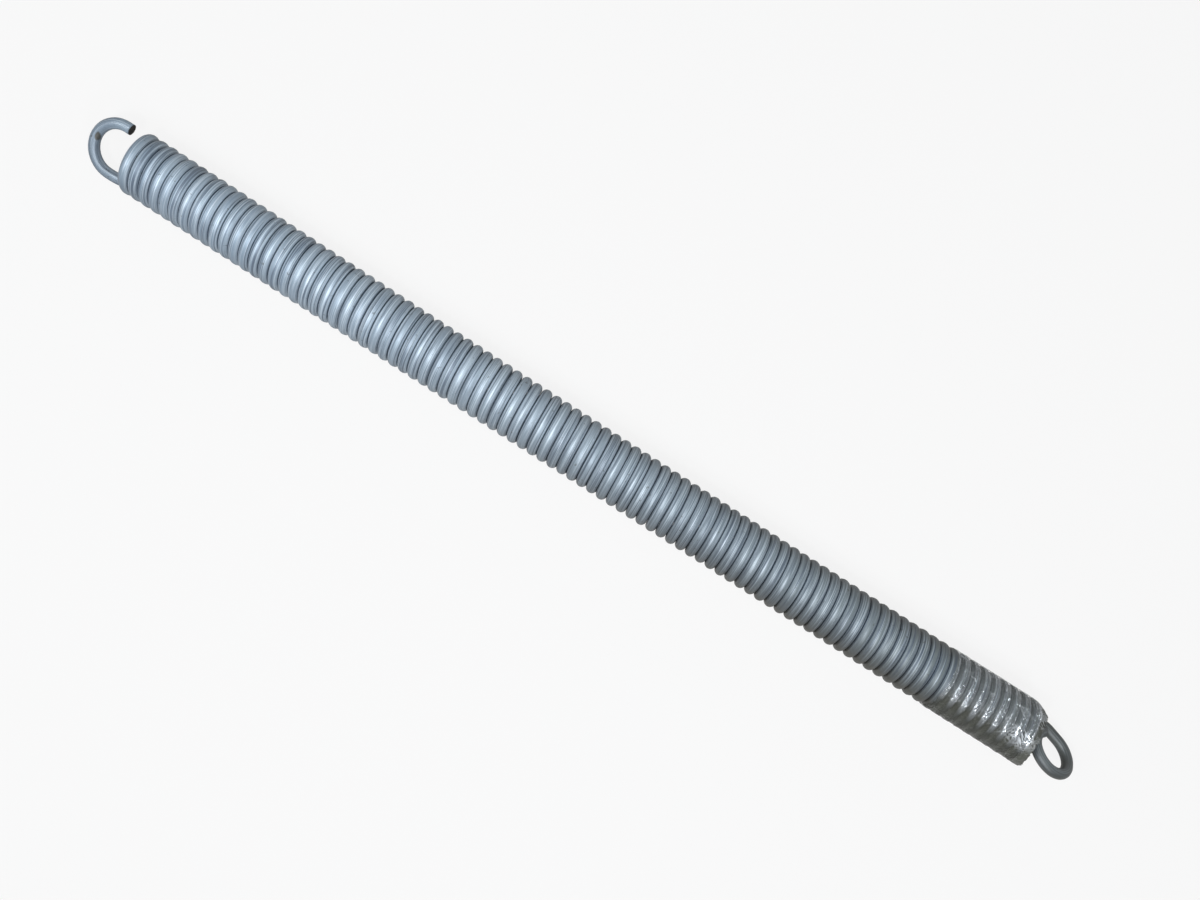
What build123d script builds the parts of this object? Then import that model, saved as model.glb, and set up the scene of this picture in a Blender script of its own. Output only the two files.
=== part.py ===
from build123d import *
from math import cos, radians, sin
import os

# Extension spring for a trailer ramp, lying on its side. X runs along the coil, from the open hook to
# the closed eye. Z is up, and z = 0 is the surface that it lies on. Lengths in mm, angles in degrees.
# Angles round the coil count from +Y towards +Z.

# Wire and coil
wire_diameter = 6.75
coil_diameter = 38.0  # over the outside of the turns
coil_pitch = 6.85  # close wound, with a hair gap between turns
whole_turns = 90
facets_per_turn = 10  # straight lengths that stand for one round turn
wire_sides = 6  # flats that stand for the round wire in the turns
fitting_sides = 12  # and in the hook and the eye
first_corner = 6  # facet corner where the wire leaves for the hook
last_corner = 8  # facet corner where it leaves for the eye

# Open hook
hook_reach = 11.4  # from the coil's first corner to the centre of the hook's bend
hook_mean_radius = 15.2
hook_roll = 19.0  # direction of its free side round the coil
hook_tail = 3.0  # straight tip past the half circle
hook_lead = 6.0  # how far along X the wire takes to turn into the hook's plane
hook_bend_radii = (7.5, 9.0)

# Closed eye
eye_reach = 19.8  # from the coil's last corner to the centre of the eye
eye_mean_radius = 12.7
eye_offset_y = -2.2  # its centre off the coil's axis
eye_offset_z = 0.5
eye_roll = 132.0  # direction of its raised side round the coil
eye_lean = 10.4  # how far its plane leans off the coil's axis
eye_start = -75.0  # angle round the eye where its arc starts
eye_end = 232.0  # and where the wire is cut, just short of its own arm
eye_lead = 14.0  # straight lead-in to the arc
eye_bend_radii = (7.0, 14.0)

# Film sleeve, shrunk on over the last turns
film_length = 65.0
film_overhang = 2.5  # past the end of the coil
film_wall = 0.4
film_clearance = 0.3  # to the flats of the turns
film_tuck_length = 8.8  # the side that is drawn in over the coil's end
film_tuck_depth = 6.0

# Worked out from the sizes above
wire_radius = wire_diameter / 2
mean_radius = (coil_diameter - wire_diameter) / 2
facet_angle = 360 / facets_per_turn
flat_share = cos(radians(facet_angle / 2))  # distance to a flat, as a share of that to a corner
corner_radius = 2 * mean_radius / (1 + flat_share)  # corners lie as far out as flats lie in
corner_count = whole_turns * facets_per_turn + last_corner - first_corner
coil_length = corner_count / facets_per_turn * coil_pitch
film_inner = corner_radius * flat_share + wire_radius + film_clearance
axis_height = film_inner + film_wall  # it lies on the film
left_reach = hook_reach + hook_mean_radius + wire_radius
right_reach = coil_length + eye_reach + eye_mean_radius * cos(radians(eye_lean)) + wire_radius
coil_start = (left_reach - right_reach) / 2
coil_end = coil_start + coil_length
film_end = coil_end + wire_radius + film_overhang


# Centre of the wire at a corner of the faceted coil, counted from the first one
def coil_corner(n):
    angle = radians((first_corner + n) * facet_angle)
    return Vector(
        coil_start + n * coil_pitch / facets_per_turn,
        corner_radius * cos(angle),
        axis_height + corner_radius * sin(angle),
    )


# The turns start and end halfway along a flat, where the bends of the hook and the eye take over
turns_start = (coil_corner(0) + coil_corner(1)) / 2
turns_end = (coil_corner(corner_count - 1) + coil_corner(corner_count)) / 2

# Plane of the open hook: x towards its free side, y away from the coil
hook_side = Vector(0, cos(radians(hook_roll)), sin(radians(hook_roll)))
hook_plane = Plane(
    origin=(coil_start - hook_reach, 0, axis_height),
    x_dir=hook_side,
    z_dir=Vector(1, 0, 0).cross(hook_side),
)

# Plane of the closed eye: x away from the coil, y towards its raised side
eye_side = Vector(0, cos(radians(eye_roll)), sin(radians(eye_roll)))
eye_away = Vector(1, 0, 0).rotate(Axis((0, 0, 0), eye_side), -eye_lean)
eye_plane = Plane(
    origin=(coil_end + eye_reach, eye_offset_y, axis_height + eye_offset_z),
    x_dir=eye_away,
    z_dir=eye_away.cross(eye_side),
)


# Point at an angle and a distance in the plane of the hook or the eye
def point_in(plane, distance, angle):
    return plane.from_local_coords((distance * cos(radians(angle)), distance * sin(radians(angle))))


hook_arc_start = point_in(hook_plane, hook_mean_radius, 180)
hook_arc_end = point_in(hook_plane, hook_mean_radius, 0)
eye_arc_start = point_in(eye_plane, eye_mean_radius, eye_start)
coilward = (eye_arc_start - eye_plane.origin).cross(eye_plane.z_dir).normalized()
eye_lead_start = eye_arc_start + coilward * eye_lead  # back along the arc's tangent

with BuildPart() as spring_wire:
    # Open hook: out of the first turn, half round, and a short straight tip
    with BuildLine() as hook_path:
        FilletPolyline(
            turns_start,
            coil_corner(0),
            hook_arc_start + Vector(hook_reach - hook_lead, 0, 0),
            hook_arc_start,
            radius=hook_bend_radii,
        )
        ThreePointArc(hook_arc_start, point_in(hook_plane, hook_mean_radius, 90), hook_arc_end)
        Line(hook_arc_end, hook_arc_end + Vector(hook_tail, 0, 0))
    with BuildSketch(Plane(origin=hook_path.line @ 0, z_dir=hook_path.line % 0)):
        RegularPolygon(wire_radius, fitting_sides)
    sweep(path=hook_path.line)

    # Closed eye: out of the last turn and round, across the coil's mouth, to its own arm
    with BuildLine() as eye_path:
        FilletPolyline(
            turns_end,
            coil_corner(corner_count),
            eye_lead_start,
            eye_arc_start,
            radius=eye_bend_radii,
        )
        ThreePointArc(
            eye_arc_start,
            point_in(eye_plane, eye_mean_radius, (eye_start + eye_end) / 2),
            point_in(eye_plane, eye_mean_radius, eye_end),
        )
    with BuildSketch(Plane(origin=eye_path.line @ 0, z_dir=eye_path.line % 0)):
        RegularPolygon(wire_radius, fitting_sides)
    sweep(path=eye_path.line)

    # The turns: a faceted helix of a six-sided wire
    with BuildLine() as turns_path:
        Polyline(turns_start, *[coil_corner(n) for n in range(1, corner_count)], turns_end)
    with BuildSketch(Plane(origin=turns_path.line @ 0, z_dir=turns_path.line % 0)):
        RegularPolygon(wire_radius, wire_sides)
    sweep(path=turns_path.line, transition=Transition.RIGHT)
spring_wire.part.label = "spring_wire"

with BuildPart() as film_wrap:
    # A sleeve that follows the flats of the turns
    with BuildSketch(Plane.YZ.offset(film_end - film_length)):
        with Locations((0, axis_height)):
            RegularPolygon(film_inner + film_wall, facets_per_turn, major_radius=False)
    extrude(amount=film_length)
    # One side is drawn in over the end of the coil
    tuck_top = Vector(film_end - film_tuck_length, film_inner + film_wall, 0)
    tuck_run = Vector(film_tuck_length, -film_tuck_depth, 0)
    split(bisect_by=Plane(origin=tuck_top, z_dir=tuck_run.cross(Vector(0, 0, 1))), keep=Keep.TOP)
    film_ends = film_wrap.faces().filter_by(Axis.X)
    offset(amount=-film_wall, openings=film_ends)
film_wrap.part.label = "film_wrap"

os.makedirs("parts", exist_ok=True)
export_step(spring_wire.part, "parts/spring_wire.step")
export_step(film_wrap.part, "parts/film_wrap.step")
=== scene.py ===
import bpy
import bmesh
from math import atan2, cos, exp, pi, radians, sin, tan
from mathutils import Matrix, Vector, noise


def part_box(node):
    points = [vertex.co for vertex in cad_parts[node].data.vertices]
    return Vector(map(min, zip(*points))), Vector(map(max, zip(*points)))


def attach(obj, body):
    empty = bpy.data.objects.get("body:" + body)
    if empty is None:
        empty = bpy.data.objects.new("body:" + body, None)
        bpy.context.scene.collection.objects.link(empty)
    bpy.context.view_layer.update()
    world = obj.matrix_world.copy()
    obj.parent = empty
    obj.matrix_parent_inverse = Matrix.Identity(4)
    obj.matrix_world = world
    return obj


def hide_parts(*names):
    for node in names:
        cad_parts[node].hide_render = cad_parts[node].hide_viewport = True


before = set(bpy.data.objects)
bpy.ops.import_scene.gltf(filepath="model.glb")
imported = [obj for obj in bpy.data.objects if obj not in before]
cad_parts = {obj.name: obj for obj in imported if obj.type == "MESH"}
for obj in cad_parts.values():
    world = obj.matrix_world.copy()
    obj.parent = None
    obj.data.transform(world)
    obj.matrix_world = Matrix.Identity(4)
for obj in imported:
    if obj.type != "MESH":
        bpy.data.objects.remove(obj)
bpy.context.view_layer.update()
print("frame loaded")

wireLow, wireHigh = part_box("spring_wire")
filmLow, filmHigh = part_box("film_wrap")


# Shader maths: a signal wraps a socket, so that a finish reads as plain expressions
class Signal:
    def __init__(self, finish, socket):
        self.finish = finish
        self.socket = socket

    def math(self, operation, *others):
        values = dict(enumerate((self,) + others))
        return self.finish.node("ShaderNodeMath", {"operation": operation}, values)

    def __add__(self, other):
        return self.math("ADD", other)

    def __sub__(self, other):
        return self.math("SUBTRACT", other)

    def __rsub__(self, other):
        return (self * -1.0) + other

    def __mul__(self, other):
        return self.math("MULTIPLY", other)

    def __truediv__(self, other):
        return self.math("DIVIDE", other)

    __radd__ = __add__
    __rmul__ = __mul__

    def clamped(self):
        return self.math("MAXIMUM", 0.0).math("MINIMUM", 1.0)

    # 0 below low, 1 above high, smooth between them
    def between(self, low, high):
        limits = {"Value": self, "From Min": low, "From Max": high}
        return self.finish.node("ShaderNodeMapRange", {"interpolation_type": "SMOOTHSTEP"}, limits)

    # Rises over the first two limits, and falls again over the other two
    def within(self, low, high, fade, end):
        return self.between(low, high) * (1.0 - self.between(fade, end))


class Finish:
    def __init__(self, name):
        self.material = bpy.data.materials.new(name)
        self.material.use_nodes = True
        self.nodes = self.material.node_tree.nodes
        self.links = self.material.node_tree.links
        self.nodes.clear()

    # Any node: its settings first, then the values or links of its sockets
    def node(self, kind, settings=None, values=None, output=0):
        made = self.nodes.new(kind)
        for name, value in (settings or {}).items():
            setattr(made, name, value)
        for name, value in (values or {}).items():
            if isinstance(value, Signal):
                self.links.new(value.socket, made.inputs[name])
            else:
                made.inputs[name].default_value = value
        return Signal(self, made.outputs[output])

    def mix(self, share, first, second):
        values = {0: share, 6: first, 7: second}
        return self.node("ShaderNodeMix", {"data_type": "RGBA"}, values, output=2)

    def place(self):
        return self.node("ShaderNodeTexCoord", output="Object")

    def attribute(self, name):
        return self.node("ShaderNodeAttribute", {"attribute_name": name}, output="Vector")

    def scaled(self, vector, scale):
        return self.node("ShaderNodeVectorMath", {"operation": "MULTIPLY"}, {0: vector, 1: scale})

    # Turned about the vertical
    def turned(self, vector, degrees):
        values = {"Vector": vector, "Angle": radians(degrees)}
        return self.node("ShaderNodeVectorRotate", values=values)

    def part(self, vector, axis):
        return self.node("ShaderNodeSeparateXYZ", values={0: vector}, output=axis)

    def grain(self, vector, scale, detail=2.0, rough=0.5):
        values = {"Vector": vector, "Scale": scale, "Detail": detail, "Roughness": rough}
        return self.node("ShaderNodeTexNoise", values=values, output="Fac")

    def bump(self, height, distance, strength=1.0):
        values = {"Height": height, "Distance": distance, "Strength": strength}
        return self.node("ShaderNodeBump", values=values)

    def surface(self, values):
        shader = self.node("ShaderNodeBsdfPrincipled", values=values)
        out = self.nodes.new("ShaderNodeOutputMaterial")
        self.links.new(shader.socket, out.inputs["Surface"])
        return self.material


# The coil and its two fittings, in metres and degrees
spring = {
    "wire": 0.00675,  # diameter
    "coil": 0.038,  # outside diameter
    "pitch": 0.00685,
    "turns": 90.1,
    "spare": 0.05,  # of a turn, left at each end for the fittings' bends
    "firstAngle": 234.0,  # round the coil, from +Y towards +Z
    "sides": 18,  # points round the wire
    "steps": 50,  # rings in one turn
    "blockTurns": 10,
    "leadOut": 18.0,  # half the bend that a fitting's lead takes out of the coil
    "wander": 0.00008,  # how far a turn strays sideways
    "swell": 0.00012,  # and in or out
    "hookReach": 0.0114,
    "hookRadius": 0.0152,
    "hookRoll": 19.0,
    "hookTail": 0.003,
    "hookLead": 0.006,
    "hookBends": (0.0075, 0.009),
    "hookRings": 24,
    "eyeReach": 0.0198,
    "eyeRadius": 0.0127,
    "eyeShift": (-0.0022, 0.0005),
    "eyeRoll": 132.0,
    "eyeLean": 10.4,
    "eyeStart": -75.0,
    "eyeEnd": 232.0,
    "eyeLead": 0.014,
    "eyeBends": (0.007, 0.014),
    "eyeRings": 44,
    "bendStep": 9.0,  # degrees between rings in a bend
    "cutBevel": 0.0005,
    "weld": 0.000002,  # rings closer than this are joined
    "mark": (-0.3362, 0.0012),  # the middle of the tool's mark, along X and Y
    "markReach": (0.0015, 0.0028),
    "markDepth": 0.0003,
    "bow": (0.0007, -0.0005),  # sideways, at the two ends and in the middle
}

wireRadius = spring["wire"] / 2
coilRadius = spring["coil"] / 2 - wireRadius
axisHeight = (wireLow.z + wireHigh.z) / 2
axisPoint = Vector((0, 0, axisHeight))
leftReach = spring["hookReach"] + spring["hookRadius"] + wireRadius
coilStart = -(wireHigh.x - wireLow.x) / 2 + leftReach
coilEnd = coilStart + (spring["turns"] + 2 * spring["spare"]) * spring["pitch"]
alongX = Vector((1, 0, 0))


def coilAngle(turn):
    return radians(spring["firstAngle"]) + turn * 2 * pi


def coilPoint(turn):
    angle = coilAngle(turn)
    x = coilStart + (turn + spring["spare"]) * spring["pitch"]
    return Vector((x, coilRadius * cos(angle), axisHeight + coilRadius * sin(angle)))


def coilHeading(turn):
    angle = coilAngle(turn)
    rise = spring["pitch"] / (2 * pi)
    return Vector((rise, -coilRadius * sin(angle), coilRadius * cos(angle))).normalized()


turnLength = ((2 * pi * coilRadius) ** 2 + spring["pitch"] ** 2) ** 0.5


# A length of wire under the bender: the last ring is fed straight on or bent round a centre
class Bender:
    def __init__(self, turn, forward):
        self.bm = bmesh.new()
        self.flow = self.bm.verts.layers.float_vector.new("flow")
        angle = coilAngle(turn)
        heading = coilHeading(turn)
        outward = Vector((0, cos(angle), sin(angle)))
        place = Matrix((outward, heading.cross(outward), heading)).transposed().to_4x4()
        place.translation = coilPoint(turn)
        bmesh.ops.create_circle(self.bm, segments=spring["sides"], radius=wireRadius, matrix=place)
        self.along = turn * turnLength
        self.sense = 1 if forward else -1
        for vert in self.bm.verts:
            across = place.inverted() @ vert.co
            vert[self.flow] = (self.along, across.x, across.y)
        self.ring = list(self.bm.edges)
        self.at = coilPoint(turn)

    # New rings keep their place round the wire, and get their place along it
    def measure(self, before, ringCount, length):
        self.bm.verts.ensure_lookup_table()
        for index in range(before, len(self.bm.verts)):
            vert = self.bm.verts[index]
            ring = (index - before) // spring["sides"] + 1
            vert[self.flow].x = self.along + self.sense * length * ring / ringCount
        self.along += self.sense * length

    def feed(self, target, ringCount=1):
        move = (Vector(target) - self.at) / ringCount
        for _ in range(ringCount):
            before = len(self.bm.verts)
            made = bmesh.ops.extrude_edge_only(self.bm, edges=self.ring)["geom"]
            verts = [item for item in made if isinstance(item, bmesh.types.BMVert)]
            bmesh.ops.translate(self.bm, verts=verts, vec=move)
            self.ring = [item for item in made if isinstance(item, bmesh.types.BMEdge)]
            self.ring = [edge for edge in self.ring if all(vert in verts for vert in edge.verts)]
            self.measure(before, 1, move.length)
        self.at = Vector(target)

    def bend(self, centre, axis, angle, slide=0.0, rings=None, length=None):
        rings = rings or max(2, round(abs(angle) / radians(spring["bendStep"])))
        reach = (self.at - centre).length
        before = len(self.bm.verts)
        made = bmesh.ops.spin(
            self.bm,
            geom=self.ring,
            cent=centre,
            axis=axis,
            dvec=alongX * slide / rings,
            angle=angle,
            steps=rings,
            use_merge=False,
            use_duplicate=False,
        )["geom_last"]
        self.ring = [item for item in made if isinstance(item, bmesh.types.BMEdge)]
        self.measure(before, rings, length or reach * abs(angle))
        turned = Matrix.Rotation(angle, 3, axis) @ (self.at - Vector(centre))
        self.at = Vector(centre) + turned + alongX * slide

    # Straight to the bend at a corner of the route, and round it
    def turnCorner(self, corner, after, radius):
        come = (corner - self.at).normalized()
        leave = (after - corner).normalized()
        angle = come.angle(leave)
        cut = radius * tan(angle / 2)
        inward = (leave - come * come.dot(leave)).normalized()
        start = corner - come * cut
        self.feed(start, 1)
        self.bend(start + inward * radius, come.cross(leave).normalized(), angle)


def inPlane(centre, first, second, distance, degrees):
    angle = radians(degrees)
    return centre + (first * cos(angle) + second * sin(angle)) * distance


def bendHook():
    wire = Bender(0, forward=False)
    side = Vector((0, cos(radians(spring["hookRoll"])), sin(radians(spring["hookRoll"]))))
    centre = Vector((coilStart - spring["hookReach"], 0, axisHeight))
    arcStart = centre - side * spring["hookRadius"]
    arcEnd = centre + side * spring["hookRadius"]
    lead = wire.at - coilHeading(0) * coilRadius * tan(radians(spring["leadOut"]))
    straight = arcStart + alongX * (spring["hookReach"] - spring["hookLead"])
    wire.turnCorner(lead, straight, spring["hookBends"][0])
    wire.turnCorner(straight, arcStart, spring["hookBends"][1])
    wire.feed(arcStart)
    wire.bend(centre, side.cross(alongX), pi, rings=spring["hookRings"])
    wire.feed(arcEnd + alongX * spring["hookTail"], 2)
    return wire


def bendEye():
    wire = Bender(spring["turns"], forward=True)
    roll = radians(spring["eyeRoll"])
    side = Vector((0, cos(roll), sin(roll)))
    away = Matrix.Rotation(-radians(spring["eyeLean"]), 3, side) @ alongX
    shift = Vector((spring["eyeReach"], spring["eyeShift"][0], spring["eyeShift"][1]))
    centre = Vector((coilEnd, 0, axisHeight)) + shift
    arcStart = inPlane(centre, away, side, spring["eyeRadius"], spring["eyeStart"])
    backward = inPlane(Vector(), away, side, 1, spring["eyeStart"] - 90)
    leadStart = arcStart + backward * spring["eyeLead"]
    lead = wire.at + coilHeading(spring["turns"]) * coilRadius * tan(radians(spring["leadOut"]))
    wire.turnCorner(lead, leadStart, spring["eyeBends"][0])
    wire.turnCorner(leadStart, arcStart, spring["eyeBends"][1])
    wire.feed(arcStart)
    sweep = radians(spring["eyeEnd"] - spring["eyeStart"])
    wire.bend(centre, away.cross(side), sweep, rings=spring["eyeRings"])
    return wire


# The last ring becomes a cut face with a small bevel
def cutOff(wire):
    bm = wire.bm
    made = bmesh.ops.edgeloop_fill(bm, edges=wire.ring, mat_nr=1)["faces"]
    bmesh.ops.inset_region(bm, faces=made, thickness=spring["cutBevel"], depth=spring["cutBevel"])


# One block of turns is wound, and the coil is copies of it
def windCoil():
    wire = Bender(0, forward=True)
    bm = wire.bm
    flow = wire.flow
    turns = spring["blockTurns"]
    angle = turns * 2 * pi
    slide = turns * spring["pitch"]
    rings = turns * spring["steps"]
    wire.bend(axisPoint, alongX, angle, slide, rings, turns * turnLength)
    block = list(bm.verts) + list(bm.edges) + list(bm.faces)
    for number in range(1, int(spring["turns"] // turns)):
        made = bmesh.ops.duplicate(bm, geom=block)["geom"]
        verts = [item for item in made if isinstance(item, bmesh.types.BMVert)]
        bmesh.ops.translate(bm, verts=verts, vec=alongX * slide * number)
        for vert in verts:
            vert[flow].x += turns * turnLength * number
    return wire


# The short rest of the last turn
def windRest():
    done = spring["turns"] // spring["blockTurns"] * spring["blockTurns"]
    rest = spring["turns"] - done
    wire = Bender(done, forward=True)
    rings = round(rest * spring["steps"])
    wire.bend(axisPoint, alongX, rest * 2 * pi, rest * spring["pitch"], rings, rest * turnLength)
    return wire


# Small strays of each turn, which fade out at the fittings
def settleTurns(bm, flow):
    for vert in bm.verts:
        turn = vert[flow].x / turnLength
        hold = min(1, max(0, turn)) * min(1, max(0, spring["turns"] - turn))
        if hold > 0:
            out = Vector((0, vert.co.y, vert.co.z - axisHeight)).normalized()
            vert.co.x += hold * spring["wander"] * noise.noise((turn * 1.7, 3.1, 0))
            vert.co += out * hold * spring["swell"] * noise.noise((turn * 1.3, 0, 7.7))


# A long spring on a flat floor lies in a slight bow
def bowAt(x):
    ends, middle = spring["bow"]
    return middle + (ends - middle) * (x / wireHigh.x) ** 2


# A tool left a shallow mark on the hook
def pressMark(bm):
    markX, markY = spring["mark"]
    reachX, reachY = spring["markReach"]
    for vert in bm.verts:
        gap = ((vert.co.x - markX) / reachX) ** 2 + ((vert.co.y - markY) / reachY) ** 2
        if gap < 1 and vert.co.z > axisHeight:
            vert.co.z -= spring["markDepth"] * (1 - gap) ** 2


def makeSpringWire(finish, endFinish):
    hook = bendHook()
    cutOff(hook)
    eye = bendEye()
    cutOff(eye)
    mesh = bpy.data.meshes.new("springWire")
    bm = bmesh.new()
    for wire in (hook, windCoil(), windRest(), eye):
        wire.bm.to_mesh(mesh)
        wire.bm.free()
        bm.from_mesh(mesh)
    bmesh.ops.remove_doubles(bm, verts=bm.verts, dist=spring["weld"])
    bmesh.ops.recalc_face_normals(bm, faces=bm.faces)
    flow = bm.verts.layers.float_vector["flow"]
    settleTurns(bm, flow)
    pressMark(bm)
    for vert in bm.verts:
        vert.co.y += bowAt(vert.co.x)
    for face in bm.faces:
        face.smooth = face.material_index == 0
    bm.to_mesh(mesh)
    bm.free()
    made = bpy.data.objects.new("spring_wire_drawn", mesh)
    bpy.context.scene.collection.objects.link(made)
    mesh.materials.append(finish)
    mesh.materials.append(endFinish)
    print("spring wire wound:", len(mesh.vertices), "points")
    return made


zinc = {
    "left": (0.284, 0.365, 0.451, 1),
    "right": (0.142, 0.168, 0.174, 1),
    # line also colours the painted shade on the sides and the hook, and the painted dark line by the
    # seams
    "line": (0.070, 0.095, 0.135, 1),
    # Colour of the painted shade where turns meet
    "seamShade": (0.060, 0.090, 0.135, 1),
    # The next colour serves the real pits and tool mark, and also the painted shade on the sides and
    # under the film
    "grimeAndShade": (0.060, 0.060, 0.052, 1),
    # bright also colours the painted light on the flanks and in the middle
    "bright": (0.62, 0.72, 0.80, 1),
    # Where along X the left colour gives way to the darker right one, painted shade for light falling
    # off along the spring; and where a painted pool of light in the middle comes and goes
    "fade": (-0.22, 0.33),
    "middle": (-0.24, -0.10, 0.0, 0.10),
    "middleShare": 0.13,
    # The two kinds of line: scale along the wire and across it, and how strong
    "lines": (9.0, 820.0, 820.0),
    "linesShare": 0.72,
    "fine": (22.0, 1700.0, 1700.0),
    "fineShare": 0.66,
    "fineFade": 0.25,  # so much less to the right
    # The second line is a painted dark line, for the shade and reflection of the neighbouring turn
    "second": 0.47,  # where one line stands out, as a share of the wire's radius
    "secondShare": 0.65,
    "cloud": 55.0,  # scale of the cloudy patches
    "cloudShare": 0.22,
    # Across the wire, as a share of its radius: painted light on the flanks, and painted shade where
    # turns meet
    "flankLight": (0.25, 0.80),
    "flankShare": 0.34,
    "flankFade": 0.2,  # so much less to the right
    "seamEdge": (0.86, 0.98),
    "seamShare": 0.9,
    # Painted shade on the low side along Z and on both sides along Y, and how much darker it gets to
    # the right
    "low": (0.018, 0.0372),
    "lowShare": 0.22,
    "lowRight": 0.45,
    "shaded": (-0.019, 0.004),
    "shadedShare": 0.36,
    "shadedMiddle": 0.12,  # so much less in the middle
    "shadedRight": 0.85,
    "far": (0.006, 0.018),
    "farShare": 0.12,
    "farRight": 0.20,
    # Darker stretches along X: the first turns, painted shade on the hook's outer end and on the wire
    # under the film
    "firstTurns": (-0.312, -0.296),
    "firstShare": 0.15,
    "hookOuterShade": (-0.336, -0.326),
    "hookShare": 0.34,
    "underFilmShade": (0.240, 0.252, 0.310, 0.318),
    "underFilmShare": 0.20,
    "markShare": 0.95,
    "pits": 380.0,
    "pitsShare": 0.5,
    "specks": 1300.0,
    "rough": 0.41,
    "metal": 0.25,
    "bumpDepth": 0.00010,
}


# Coated wire: cloudy grey, with lines from the die along its length
def zincFinish():
    f = Finish("drawnZincWire")
    flow = f.attribute("flow")
    place = f.place()
    alongSpring = f.part(place, "X")
    acrossSpring = f.part(place, "Y")
    height = f.part(place, "Z")
    # Darker and greyer to the right: painted shade for the light falling off along the spring
    toRight = alongSpring.between(*zinc["fade"])
    body = f.mix(toRight, zinc["left"], zinc["right"])
    # Painted light: a paler stretch in the middle of the coil
    middle = alongSpring.within(*zinc["middle"])
    body = f.mix(middle * zinc["middleShare"], body, zinc["bright"])
    axial = f.part(flow, "Z") / wireRadius
    turn = f.part(flow, "X") / turnLength
    inCoil = turn.within(-0.15, 0.05, spring["turns"] - 0.05, spring["turns"] + 0.15)
    # Painted light: the flanks are lightened, so the dark between turns stays narrow
    flankLight = axial.math("ABSOLUTE").between(*zinc["flankLight"]) * inCoil
    body = f.mix(flankLight * (zinc["flankShare"] - toRight * zinc["flankFade"]), body, zinc["bright"])
    cloud = f.grain(place, zinc["cloud"], 3.0)
    body = f.mix(cloud.between(0.38, 0.72) * zinc["cloudShare"], body, zinc["line"])
    lines = f.grain(f.scaled(flow, zinc["lines"]), 1.0, 3.0, 0.6)
    fine = f.grain(f.scaled(flow, zinc["fine"]), 1.0, 2.0, 0.6)
    body = f.mix(lines.between(0.51, 0.60) * zinc["linesShare"], body, zinc["line"])
    fineShare = fine.between(0.52, 0.62) * (zinc["fineShare"] - toRight * zinc["fineFade"])
    body = f.mix(fineShare, body, zinc["bright"])
    # A painted dark line beside the seam, for the shade and reflection of the neighbouring turn; it
    # comes and goes along the wire
    off = (axial - zinc["second"] - (cloud - 0.5) * 0.25).math("ABSOLUTE")
    fades = f.grain(f.scaled(flow, (14.0, 0.0, 0.0)), 1.0, 1.0).between(0.35, 0.6)
    body = f.mix((1.0 - off.between(0.04, 0.15)) * fades * zinc["secondShare"], body, zinc["line"])
    # Painted shade where turns meet
    seamShade = axial.math("ABSOLUTE").between(*zinc["seamEdge"]) * inCoil
    body = f.mix(seamShade * zinc["seamShare"], body, zinc["seamShade"])
    # Painted shade on the low side and on both sides along Y, most of all to the right
    low = 1.0 - height.between(*zinc["low"])
    shaded = 1.0 - acrossSpring.between(*zinc["shaded"])
    far = acrossSpring.between(*zinc["far"])
    firstTurns = 1.0 - alongSpring.between(*zinc["firstTurns"])
    hookOuterShade = 1.0 - alongSpring.between(*zinc["hookOuterShade"])
    body = f.mix(shaded * (zinc["shadedShare"] - middle * zinc["shadedMiddle"]), body, zinc["line"])
    # Painted shade on the outer end of the hook
    body = f.mix(hookOuterShade * zinc["hookShare"], body, zinc["line"])
    # Painted shade on the low side and on the sides of -Y and +Y, growing to the right, with the darker
    # first turns added
    grimeAndShade = low * (toRight * zinc["lowRight"] + zinc["lowShare"])
    grimeAndShade = grimeAndShade + shaded * toRight * zinc["shadedRight"]
    grimeAndShade = grimeAndShade + firstTurns * inCoil * zinc["firstShare"]
    grimeAndShade = grimeAndShade + far * (toRight * zinc["farRight"] + zinc["farShare"])
    body = f.mix(grimeAndShade.clamped(), body, zinc["grimeAndShade"])
    # Painted shade on the wire under the film
    underFilmShade = alongSpring.within(*zinc["underFilmShade"])
    body = f.mix(underFilmShade * zinc["underFilmShare"], body, zinc["grimeAndShade"])
    # The tool mark on the hook, on its upper side only
    markX = (alongSpring - spring["mark"][0]) / spring["markReach"][0]
    markY = (acrossSpring - spring["mark"][1]) / spring["markReach"][1]
    mark = 1.0 - (markX * markX + markY * markY).between(0.4, 1.1)
    body = f.mix(mark * height.between(0.018, 0.021) * zinc["markShare"], body, zinc["grimeAndShade"])
    # A few dark pits
    pits = f.grain(place, zinc["pits"], 1.0).between(0.72, 0.76)
    body = f.mix(pits * zinc["pitsShare"], body, zinc["grimeAndShade"])
    specks = f.grain(place, zinc["specks"], 1.0)
    relief = lines * 0.6 + fine * 0.25 + specks * 0.15
    return f.surface({
        "Base Color": body,
        "Roughness": zinc["rough"] + fine * 0.12 + seamShade * 0.15,
        "Metallic": zinc["metal"],
        "Normal": f.bump(relief, zinc["bumpDepth"], 0.5),
    })


cutFace = {
    "dark": (0.012, 0.011, 0.010, 1),
    "worn": (0.06, 0.052, 0.045, 1),
    "grain": 700.0,
    "rough": 0.7,
    "metal": 0.3,
    "bumpDepth": 0.0002,
}


# The two ends where the wire was cut are bare and dark
def cutFinish():
    f = Finish("shearedEnd")
    place = f.place()
    tone = f.grain(place, cutFace["grain"], 3.0)
    body = f.mix(tone, cutFace["dark"], cutFace["worn"])
    return f.surface({
        "Base Color": body,
        "Roughness": cutFace["rough"],
        "Metallic": cutFace["metal"],
        "Normal": f.bump(tone, cutFace["bumpDepth"]),
    })


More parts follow.
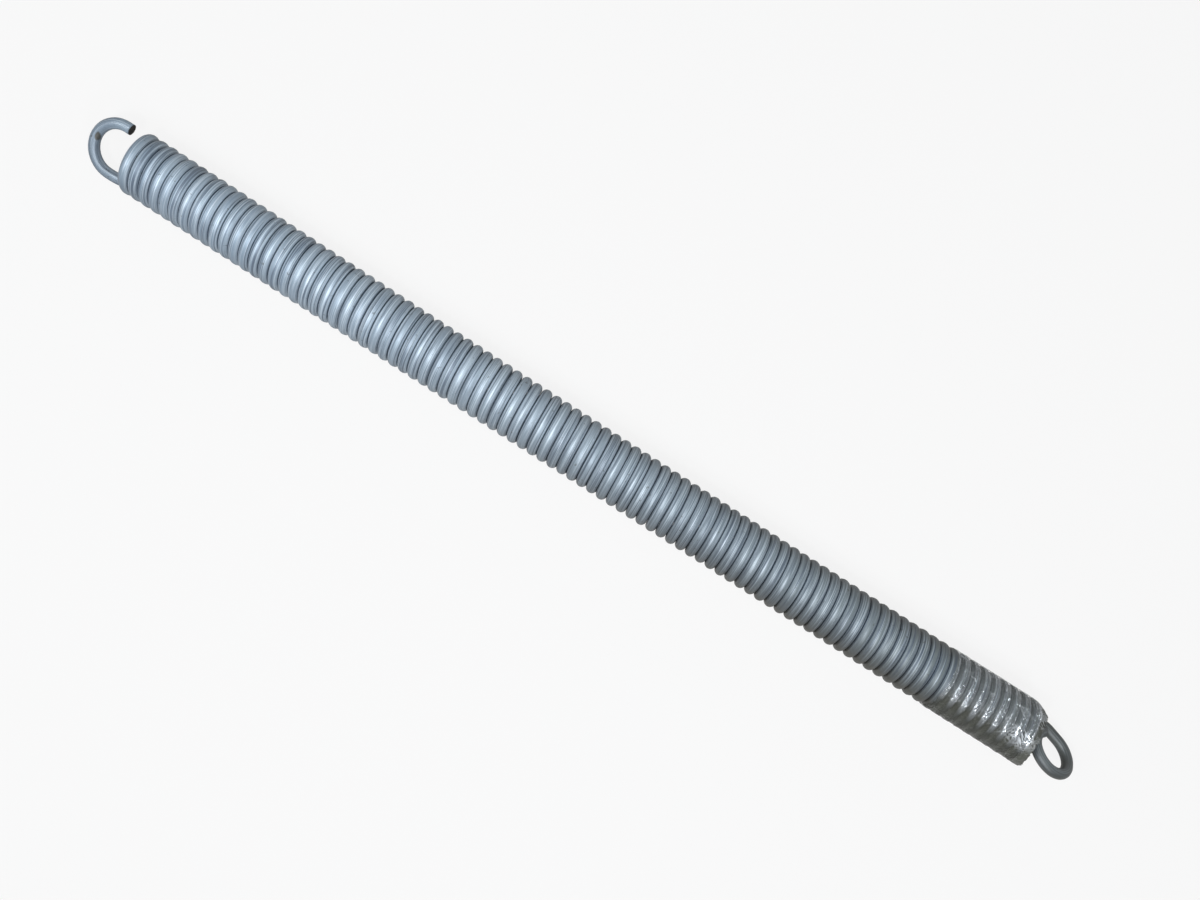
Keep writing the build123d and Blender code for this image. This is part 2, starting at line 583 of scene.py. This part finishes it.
film = {
    "pointsAround": 250,
    "pointsAlong": 178,
    "skin": 0.00006,
    "clearance": 0.00010,  # over the turns
    "sag": 0.0003,  # into the grooves between turns
    "looseFrom": 0.0016,  # past the last turn's top
    "looseBlend": 0.0003,
    "crease": 0.00050,
    "looseCrease": 0.0008,  # past the coil's end
    "endReach": 0.0023,  # past the plain sleeve's end, at its two sides
    "topShort": 0.0060,  # and how much shorter it is on top
    "tuckShort": 0.0050,  # and on the shoulder of the side that is drawn in
    "corner": 0.0018,  # rounding where the end meets the loose side
    "ragged": 0.0010,
    "raggedScale": 9.0,
    "rumple": (0.284, 0.302),  # where along X it gets more creased
    "rumpleAround": (1.95, 0.5),  # and round the sleeve: middle and half width in radians
    "tuckStart": 0.3012,  # the side of +Y is drawn in to the arm of the eye
    "tuckBlend": 0.004,  # it is more creased there too
    "tuckAround": (0.9, 0.4),
    "tuckSlope": 0.85,
    "tuckTop": 0.0195,
    "tuckGive": 0.12,  # how much of its roundness is left there
    "lowest": 0.0001,  # it rests on the floor
}


# 1 along thin winding lines and 0 away from them
def ridge(x, y, z, sharpness):
    return max(0, 1 - abs(noise.noise((x, y, z))) * 2.4) ** sharpness


def makeFilm(finish):
    bm = bmesh.new()
    bm.verts.layers.float_vector.new("wrap")
    start = filmLow.x
    count = film["pointsAlong"]
    radius = spring["coil"] / 2 + film["clearance"]
    step = (filmHigh.x - start) / count
    bmesh.ops.create_vert(bm, co=(start, radius, axisHeight))
    tip = list(bm.verts)
    for _ in range(count):
        made = bmesh.ops.extrude_vert_indiv(bm, verts=tip)
        tip = made["verts"]
        bmesh.ops.translate(bm, verts=tip, vec=alongX * step)
    bmesh.ops.spin(
        bm,
        geom=list(bm.edges),
        cent=axisPoint,
        axis=alongX,
        angle=2 * pi,
        steps=film["pointsAround"],
        use_merge=True,
        use_duplicate=False,
    )
    wrap = bm.verts.layers.float_vector["wrap"]
    for vert in bm.verts:
        shapeFilm(vert, wrap)
    bmesh.ops.recalc_face_normals(bm, faces=bm.faces)
    for face in bm.faces:
        face.smooth = True
    mesh = bpy.data.meshes.new("filmSleeve")
    bm.to_mesh(mesh)
    bm.free()
    made = bpy.data.objects.new("film_sleeve", mesh)
    bpy.context.scene.collection.objects.link(made)
    wall = made.modifiers.new("wall", "SOLIDIFY")
    wall.thickness = film["skin"]
    wall.offset = -1
    mesh.materials.append(finish)
    print("film sleeve shrunk on:", len(mesh.vertices), "points")
    return made


# 1 at the middle of a patch round the sleeve, and 0 past its half width
def patch(angle, middle, halfWidth):
    return max(0, 1 - ((angle - middle) / halfWidth) ** 2)


# Tight on the turns, loose past them, creased all over and drawn in on one side
def shapeFilm(vert, wrap):
    angle = atan2(vert.co.z - axisHeight, vert.co.y)
    share = (vert.co.x - filmLow.x) / (filmHigh.x - filmLow.x)
    circle = Vector((cos(angle), sin(angle), 0)) * film["raggedScale"] + Vector((0, 0, 0.5))
    high = max(0, sin(angle))
    end = filmHigh.x + film["endReach"] - film["topShort"] * high
    end -= film["tuckShort"] * high * max(0, cos(angle))
    end -= film["corner"] * max(0, -cos(angle) * 10 - 9) ** 2
    end += film["ragged"] * noise.noise(circle * 1.5)
    start = filmLow.x + film["ragged"] * noise.noise(circle)
    x = start + share * (end - start)
    # Turns from the coil's start to here, and how far past the last one this is
    turnShare = (angle - radians(spring["firstAngle"])) / (2 * pi)
    phase = (x - coilStart) / spring["pitch"] - spring["spare"] - turnShare
    past = (phase - (spring["turns"] - turnShare) // 1) * spring["pitch"]
    loose = 1 / (1 + exp((film["looseFrom"] - past) / film["looseBlend"]))
    groove = (1 - cos(phase * 2 * pi)) * 0.5 * (1 - loose)
    near, far = film["rumple"]
    rumple = min(1, max(0, (x - near) / (far - near))) * patch(angle, *film["rumpleAround"])
    tucked = max(0, x - film["tuckStart"])
    rumple = max(rumple, min(1, tucked / film["tuckBlend"]) * patch(angle, *film["tuckAround"]))
    # Place on the sleeve in mm, so that the creases close all the way round
    along = x * 1000
    side = cos(angle) * spring["coil"] * 500
    up = sin(angle) * spring["coil"] * 500
    creases = ridge(along * 0.30 + 2.1, side * 0.17, up * 0.17, 3) * 0.5
    creases += ridge(along * 0.42, side * 0.30 + along * 0.2, up * 0.30 + 5.1, 2) * 0.4 * (1 - loose)
    creases += rumple * ridge(along * 0.36, side * 0.34 - along * 0.3, up * 0.34 + 9.4, 2) * 0.6
    depth = film["crease"] * (1 - loose) + film["looseCrease"] * loose
    radius = spring["coil"] / 2 + film["clearance"] - film["sag"] * groove + depth * creases
    y = radius * cos(angle)
    z = radius * sin(angle)
    limit = film["tuckTop"] - tucked * film["tuckSlope"]
    if y > limit:
        y = limit + (y - limit) * film["tuckGive"]
    vert.co = Vector((x, y + bowAt(x), max(film["lowest"], z + axisHeight)))
    vert[wrap] = (groove, rumple, loose)


filmLook = {
    "clear": (0.85, 0.89, 0.93, 1),
    "veil": (0.135, 0.148, 0.148, 1),
    # The brown of the loose film, and also the colour of the painted shade on the side of -Y
    "smokyAndShade": (0.072, 0.075, 0.064, 1),
    "white": (0.82, 0.87, 0.93, 1),
    # How much of what lies under it the film covers; shade, shadeGroove and looseSide add painted shade
    # on the side of -Y
    "onCrest": 0.055,
    "inGroove": 0.25,
    "loose": 0.50,
    "looseSide": 0.30,  # more on the side of -Y
    "shade": 0.20,
    "shadeGroove": 0.30,
    "creaseWhite": 0.55,
    # Where the painted shade on the side of -Y begins, along Y
    "lowSideShade": (-0.0135, 0.0005),  # along Y
    "haze": 150.0,
    "wrinkle": 260.0,
    "fold": (430.0, 85.0, 160.0),  # scale across a fold line, along it and up
    "foldTurns": (35.0, -55.0),
    "foldWidth": (0.015, 0.07),
    "shine": 0.3,
    "rough": 0.12,
    "bumpDepth": 0.00025,
}


# Clear film: brightest where it is tight on a turn, milky or brown where it hangs free, with painted
# shade on the side of -Y and painted glints on its creases
def filmFinish():
    f = Finish("clearFilm")
    place = f.place()
    wrap = f.attribute("wrap")
    groove = f.part(wrap, "X")
    rumple = f.part(wrap, "Y")
    loose = f.part(wrap, "Z")
    haze = f.grain(place, filmLook["haze"], 2.0)
    wrinkle = f.grain(place, filmLook["wrinkle"], 2.0)
    # Painted shade on the side of -Y
    lowSideShade = 1.0 - f.part(place, "Y").between(*filmLook["lowSideShade"])
    # Fold lines in two directions, where a stretched pattern crosses its middle value
    folds = 0.0
    for degrees in filmLook["foldTurns"]:
        pattern = f.grain(f.scaled(f.turned(place, degrees), filmLook["fold"]), 1.0, 1.0)
        lines = 1.0 - (pattern - 0.5).math("ABSOLUTE").between(*filmLook["foldWidth"])
        folds = lines.math("MAXIMUM", folds)
    # Whitened creases: partly real stress-whitening, partly painted glints in the creased patch on the
    # lit side; none on the shaded side of -Y
    whitenedAndGlints = folds * (haze.between(0.50, 0.66) * 0.35 + rumple * 1.2)
    whitenedAndGlints = whitenedAndGlints * (1.0 - loose * 0.8) * (1.0 - lowSideShade)
    dull = (groove.between(0.25, 0.8) + loose + lowSideShade + haze.between(0.5, 0.7) * 0.2).clamped()
    veil = f.mix((loose + lowSideShade * 1.5).clamped(), filmLook["veil"], filmLook["smokyAndShade"])
    tint = f.mix(whitenedAndGlints, f.mix(dull, filmLook["clear"], veil), filmLook["white"])
    alpha = filmLook["onCrest"] + groove * filmLook["inGroove"]
    # Painted shade: more cover on the side of -Y, most in the grooves and where the film hangs free
    alpha = alpha + lowSideShade * (filmLook["shade"] + groove * filmLook["shadeGroove"])
    alpha = alpha + loose * (filmLook["loose"] + lowSideShade * filmLook["looseSide"])
    return f.surface({
        "Base Color": tint,
        "Roughness": filmLook["rough"] + dull * 0.15,
        "Metallic": (1.0 - dull) * 0.95,
        "Alpha": (alpha + whitenedAndGlints * filmLook["creaseWhite"]).clamped(),
        "Specular IOR Level": filmLook["shine"],
        "Normal": f.bump(wrinkle + folds * 0.5, filmLook["bumpDepth"], 0.9),
    })


# A finished piece rides on the one body and stands for its CAD node
def pieceFrom(made, node):
    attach(made, "root")
    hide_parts(node)


pieceFrom(makeSpringWire(zincFinish(), cutFinish()), "spring_wire")
pieceFrom(makeFilm(filmFinish()), "film_wrap")

studio = {
    "floor": (0.42, 0.42, 0.42, 1),
    "floorSize": 4.0,
    "floorWhite": 0.86,  # share of plain white that the camera sees
    "floorShine": 0.40,  # and that a reflection sees
    "world": 0.25,
    "backdrop": 0.90,  # what the camera sees past the floor's edge
    "lamps": [
        # name, place, length and width, watts, colour
        ("strip", (-0.50, -0.33, 1.15), (2.0, 0.8), 17.5, (0.97, 0.985, 1.0)),
        ("spark", (-0.03, -0.28, 1.00), (0.10, 0.10), 3.3, (0.97, 0.985, 1.0)),
        ("glint", (0.55, -0.49, 0.97), (0.10, 0.14), 3.6, (0.95, 0.97, 1.0)),
        ("sideGlint", (0.68, 1.12, 0.55), (0.06, 0.06), 1.0, (0.93, 1.0, 1.0)),
    ],
    "stripTurn": 24.0,  # the long lamp lies at a slant over the spring
}


# The camera sees a plain pale floor, and light and reflections find a duller one
def floorFinish():
    f = Finish("paleFloor")
    lightPath = f.nodes.new("ShaderNodeLightPath")
    seen = Signal(f, lightPath.outputs["Is Camera Ray"])
    glossy = Signal(f, lightPath.outputs["Is Glossy Ray"])
    through = Signal(f, lightPath.outputs["Is Transmission Ray"])
    share = seen * studio["floorWhite"] + (glossy + through).clamped() * studio["floorShine"]
    plain = f.node("ShaderNodeBsdfPrincipled", values={"Base Color": studio["floor"], "Roughness": 0.9})
    white = f.node("ShaderNodeEmission", values={"Color": (1, 1, 1, 1), "Strength": 1.0})
    both = f.node("ShaderNodeMixShader", values={0: share, 1: plain, 2: white})
    out = f.nodes.new("ShaderNodeOutputMaterial")
    f.links.new(both.socket, out.inputs["Surface"])
    return f.material


def makeStudio():
    bm = bmesh.new()
    bmesh.ops.create_grid(bm, x_segments=1, y_segments=1, size=studio["floorSize"] / 2)
    mesh = bpy.data.meshes.new("floor")
    bm.to_mesh(mesh)
    bm.free()
    floorPiece = bpy.data.objects.new("floor", mesh)
    bpy.context.scene.collection.objects.link(floorPiece)
    mesh.materials.append(floorFinish())
    for name, place, size, watts, colour in studio["lamps"]:
        lamp = bpy.data.lights.new(name, "AREA")
        lamp.shape = "RECTANGLE"
        lamp.size, lamp.size_y = size
        lamp.energy = watts
        lamp.color = colour
        made = bpy.data.objects.new(name, lamp)
        made.location = place
        made.rotation_euler = (atan2(-place[1], place[2]), 0, 0)  # down, and tipped in to the spring
        if name == "strip":
            made.rotation_euler.z = radians(studio["stripTurn"])
        bpy.context.scene.collection.objects.link(made)
    world = bpy.data.worlds.new("studio")
    bpy.context.scene.world = world
    world.use_nodes = True
    nodes = world.node_tree.nodes
    background = nodes["Background"]
    background.inputs["Color"].default_value = (1, 1, 1, 1)
    strength = nodes.new("ShaderNodeMapRange")
    strength.inputs["To Min"].default_value = studio["world"]
    strength.inputs["To Max"].default_value = studio["backdrop"]
    seen = nodes.new("ShaderNodeLightPath").outputs["Is Camera Ray"]
    world.node_tree.links.new(seen, strength.inputs["Value"])
    world.node_tree.links.new(strength.outputs["Result"], background.inputs["Strength"])


view = {
    "place": (0.0086, 0.0050, 0.7060),
    "turn": 32.64,  # of the picture's right from +X
    "lens": 35.25,
}


def makeCamera():
    camera = bpy.data.cameras.new("camera")
    camera.lens = view["lens"]
    camera.sensor_width = 36.0
    camera.clip_start = 0.01
    made = bpy.data.objects.new("camera", camera)
    made.location = view["place"]
    made.rotation_euler = (0, 0, radians(view["turn"]))
    bpy.context.scene.collection.objects.link(made)
    bpy.context.scene.camera = made


makeStudio()
makeCamera()
bpy.context.scene.view_settings.view_transform = "Standard"
print("studio and camera set")
